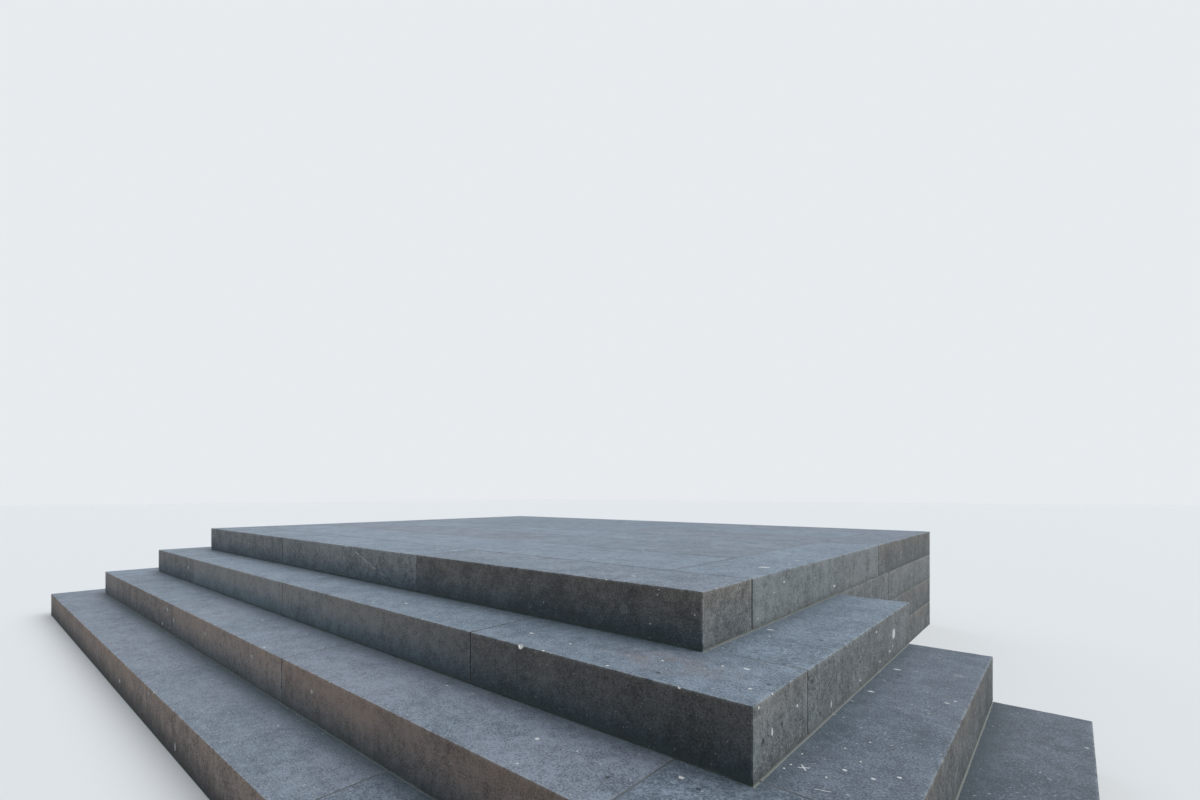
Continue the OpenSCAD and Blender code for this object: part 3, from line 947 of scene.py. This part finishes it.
class Stone:
    """One stone's box, and which of its upright faces meet a neighbour across a joint."""

    def __init__(self, low, high):
        self.low, self.high = low, high
        self.size = high - low
        self.jointed = set()

    def meets(self, other, axis, side):
        """True if the other stone begins across a joint on that side and lies level with this one."""
        gap = other.low[axis] - self.high[axis] if side > 0 else self.low[axis] - other.high[axis]
        if not 0 < gap < WIDEST_JOINT:
            return False
        shared = [min(self.high[a], other.high[a]) - max(self.low[a], other.low[a])
                  for a in range(3) if a != axis]
        return min(shared) > WIDEST_JOINT

    def end(self, axis, side):
        """Where the box ends along an axis, on that side."""
        return (self.high if side > 0 else self.low)[axis]

    def faces_near(self, place, reach):
        """The faces within reach of a place, each as its axis and side."""
        return [(axis, side) for axis in range(3) for side in (-1, 1)
                if abs(place[axis] - self.end(axis, side)) < reach]

    def edge_weight(self, middle):
        """1 for an open arris, less at a joint and 0 for what isn't an eased edge."""
        faces = self.faces_near(middle, SAME_PLACE)
        if len(faces) != 2 or UNDERSIDE in faces:
            return 0.0
        return JOINT_ARRIS_SHARE if self.jointed.intersection(faces) else 1.0

    def wear_weight(self, place):
        """How much a point of the surface wears: none away from the arrises, and less at the joints."""
        faces = self.faces_near(place, NEAR_ARRIS)
        if len(faces) < 2 or UNDERSIDE in faces:
            return 0.0
        return JOINT_WEAR_SHARE if self.jointed.intersection(faces) else 1.0

    def model(self):
        """A sawn block: gridded faces that are not quite flat, and eased, slightly worn arrises."""
        bpy.ops.mesh.primitive_cube_add(size=1, location=(self.low + self.high) / 2, scale=self.size)
        block = bpy.context.object
        bpy.ops.object.transform_apply()
        bpy.ops.object.mode_set(mode="EDIT")
        bpy.ops.mesh.select_mode(type="EDGE")
        self.cut_grid(block)
        self.cut_support()
        for weight in (1.0, JOINT_ARRIS_SHARE):
            select_edges(block, lambda e: self.edge_weight((e.verts[0].co + e.verts[1].co) / 2) == weight)
            bpy.ops.transform.edge_bevelweight(value=weight)
        bpy.ops.object.mode_set(mode="OBJECT")
        work(block, "BEVEL", limit_method="WEIGHT", width=ARRIS, segments=ARRIS_SEGMENTS)
        self.wear_down(block)
        return block

    def cut_grid(self, block):
        """Cuts the faces into cells, so that the surface can be worked."""
        for axis in range(3):
            def along_axis(edge):
                run = edge.verts[1].co - edge.verts[0].co
                return abs(run[axis]) > ALONG_AXIS * run.length
            select_edges(block, along_axis)
            bpy.ops.mesh.subdivide(number_cuts=max(1, round(self.size[axis] / GRID) - 1))

    def cut_support(self):
        """Cuts a line close behind each arris, so that its wear stays there."""
        for axis in range(3):
            places = [self.high[axis] - SUPPORT]
            if axis < 2:
                places.insert(0, self.low[axis] + SUPPORT)
            for place in places:
                point, normal = [0, 0, 0], [0, 0, 0]
                point[axis], normal[axis] = place, 1
                bpy.ops.mesh.select_all(action="SELECT")
                bpy.ops.mesh.bisect(plane_co=point, plane_no=normal)

    def wear_down(self, block):
        """Makes the faces slightly uneven and wears the arrises, and keeps how worn each point is."""
        worn = block.vertex_groups.new(name="worn")
        self.wear = [self.wear_weight(v.co) for v in block.data.vertices]
        for index, weight in enumerate(self.wear):
            if weight:
                worn.add([index], weight, "REPLACE")
        sink(block, FACE_PATTERN, FACE_WAVE)
        sink(block, ARRIS_PATTERN, ARRIS_WEAR, "worn")
        block.vertex_groups.clear()

    def note(self, block, **look):
        """Writes on each point what the finish needs to know; what isn't given counts as 0."""
        values = {name: [float(value)] * len(block.data.vertices) for name, value in look.items()}
        values["arris"] = self.wear
        values["near_riser"] = [nearness_to_riser(v.co) for v in block.data.vertices]
        for name, numbers in values.items():
            block.data.attributes.new(name, "FLOAT", "POINT").data.foreach_set("value", numbers)

    def open_arrises(self):
        """The open arrises of the tread, as pairs of ends."""
        found = []
        for axis, side in UPRIGHT_FACES:
            if (axis, side) not in self.jointed:
                start, end = Vector((self.low.x, self.low.y, self.high.z)), self.high.copy()
                start[axis] = end[axis] = self.end(axis, side)
                found.append((start, end))
        return found


def chip_off(block, places, finish):
    """Breaks small shells out of the arrises, with the fresh stone showing in them."""
    cutters = []
    for centre, size in places:
        bpy.ops.mesh.primitive_ico_sphere_add(subdivisions=CHIP_FACETS, radius=size, location=centre)
        cutter = bpy.context.object
        cutter.data.materials.append(finish)
        bpy.ops.object.transform_apply()
        sink(cutter, CHIP_PATTERN, CHIP_ROUGHNESS * size)
        cutters.append(cutter)
    cutter = join(cutters)
    work(block, "BOOLEAN", operation="DIFFERENCE", object=cutter, solver="MANIFOLD", material_mode="TRANSFER")
    bpy.data.objects.remove(cutter)
    assert block.data.vertices, "a chip took the whole stone"


def stones_of(node):
    """The stones of a CAD node: a copy of its mesh is merged and parted, and each part measured."""
    pick(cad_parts[node])
    bpy.ops.object.duplicate()
    bpy.ops.object.mode_set(mode="EDIT")
    bpy.ops.mesh.select_all(action="SELECT")
    bpy.ops.mesh.remove_doubles(threshold=SAME_PLACE)
    bpy.ops.mesh.separate(type="LOOSE")
    bpy.ops.object.mode_set(mode="OBJECT")
    stones = []
    for part in list(bpy.context.selected_objects):
        corners = [v.co for v in part.data.vertices]
        low = Vector([min(c[a] for c in corners) for a in range(3)])
        high = Vector([max(c[a] for c in corners) for a in range(3)])
        stones.append(Stone(low, high))
        bpy.data.objects.remove(part)
    return sorted(stones, key=lambda s: [round(place, 3) for place in s.low])


def find_joints(stones):
    """Notes on each stone which of its upright faces meet a neighbour."""
    for stone in stones:
        for axis, side in UPRIGHT_FACES:
            if any(stone.meets(other, axis, side) for other in stones if other is not stone):
                stone.jointed.add((axis, side))


def lay(node, number, stones, finish, broken):
    """Models every stone of a CAD node and joins them as one piece that stands for it."""
    draw = random.Random(number)
    blocks = []
    for index, stone in enumerate(stones):
        drawn = dict(pale=draw.uniform(*PALE_RANGE), brown=draw.uniform(*BROWN_RANGE),
                     turned=draw.random() < TURNED_SHARE)
        block = stone.model()
        block.data.materials.append(finish)
        stone.note(block, stone=number + index / STONES_IN_NODE, **LOOK_OF_STONE.get(node, drawn))
        chips = list(CHIPS.get(node, []))
        for start, end in stone.open_arrises():
            share, size = draw.uniform(*CHIP_SPAN), draw.uniform(*CHIP_SIZES)
            chips.append((start.lerp(end, share), size))
        if chips:
            chip_off(block, chips, broken)
        blocks.append(block)
    piece = join(blocks)
    piece.name = "dressed_" + node
    bpy.ops.object.shade_smooth_by_angle(angle=SMOOTH_UNDER)
    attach(piece, "root")
    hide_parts(node)


def build_stones():
    """Models the stones of all nodes, those with single marks in a finish of their own."""
    nodes = [node for node in sorted(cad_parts) if not node.startswith(("core", "mortar"))]
    stones = {node: stones_of(node) for node in nodes}
    find_joints([stone for group in stones.values() for stone in group])
    plain, broken = Limestone("limestone").dress(), broken_limestone()
    for number, node in enumerate(nodes):
        finish = Limestone("limestone_" + node).dress(MARKS[node]) if node in MARKS else plain
        lay(node, number, stones[node], finish, broken)


def dress_kept_nodes():
    """The mortar and the core keep the shape they were packed with and get their finish."""
    mortar, core = Mortar("mortar").dress(), rough_masonry()
    for node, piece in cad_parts.items():
        if node.startswith(("core", "mortar")):
            piece.data.materials.clear()
            piece.data.materials.append(mortar if node.startswith("mortar") else core)


# Stage

FLOOR_SIDE = 120
FLOOR_ROUGHNESS = 0.9
FLOOR_SEEN = rgb(0.78, 0.81, 0.84)
FLOOR_BOUNCE = rgb(0.30, 0.31, 0.32)
BACKGROUND = rgb(0.80, 0.83, 0.86)
SKY = rgb(0.86, 0.93, 1.0)
SKY_STRENGTH = 0.36
SOFT_KEY = dict(towards=(0.64, 0.18, 0.75), strength=2.45, colour=(1.0, 0.98, 0.95))
SOFT_FILL = dict(towards=(-0.75, 0.25, 0.55), strength=0.25, colour=(0.95, 0.98, 1.0))
LAMP_SPREAD = math.radians(60)


def lamp(name, towards, strength, colour):
    """A soft lamp that stands far off in that direction."""
    data = bpy.data.lights.new(name, "SUN")
    data.energy = strength
    data.angle = LAMP_SPREAD
    data.color = colour
    holder = bpy.data.objects.new(name, data)
    holder.rotation_euler = Vector(towards).to_track_quat("Z", "Y").to_euler()
    bpy.context.scene.collection.objects.link(holder)


def build_floor():
    """A plain floor, paler to the eye than in the light that it throws back."""
    bpy.ops.mesh.primitive_plane_add(size=FLOOR_SIDE)
    floor = bpy.context.object
    floor.name = "floor"
    paint = Finish("floor")
    seen = paint.add("ShaderNodeLightPath").outputs["Is Camera Ray"]
    paint.feed(paint.shader.inputs["Base Color"], paint.blend(seen, FLOOR_BOUNCE, FLOOR_SEEN))
    paint.feed(paint.shader.inputs["Roughness"], FLOOR_ROUGHNESS)
    floor.data.materials.append(paint.material)


def build_background():
    """An even sky that lights the steps, seen as a pale background."""
    world = bpy.data.worlds.new("studio")
    world.use_nodes = True
    bpy.context.scene.world = world
    nodes = Nodes(world.node_tree)
    light = nodes.tree.nodes["Background"]
    nodes.feed(light.inputs["Color"], SKY)
    nodes.feed(light.inputs["Strength"], SKY_STRENGTH)
    backdrop = nodes.add("ShaderNodeBackground", {"Color": BACKGROUND})
    ray = nodes.add("ShaderNodeLightPath").outputs
    seen = nodes.most(nodes.most(ray["Is Camera Ray"], ray["Is Glossy Ray"]), ray["Is Transmission Ray"])
    mix = nodes.add("ShaderNodeMixShader", {0: seen, 1: light.outputs[0], 2: backdrop.outputs[0]})
    nodes.feed(nodes.tree.nodes["World Output"].inputs["Surface"], mix.outputs[0])


def build_stage():
    """The floor, the background, two soft lamps and plain colours."""
    build_floor()
    build_background()
    lamp("soft_key", **SOFT_KEY)
    lamp("soft_fill", **SOFT_FILL)
    bpy.context.scene.view_settings.view_transform = "Standard"


set_camera()
build_stage()
build_stones()
dress_kept_nodes()
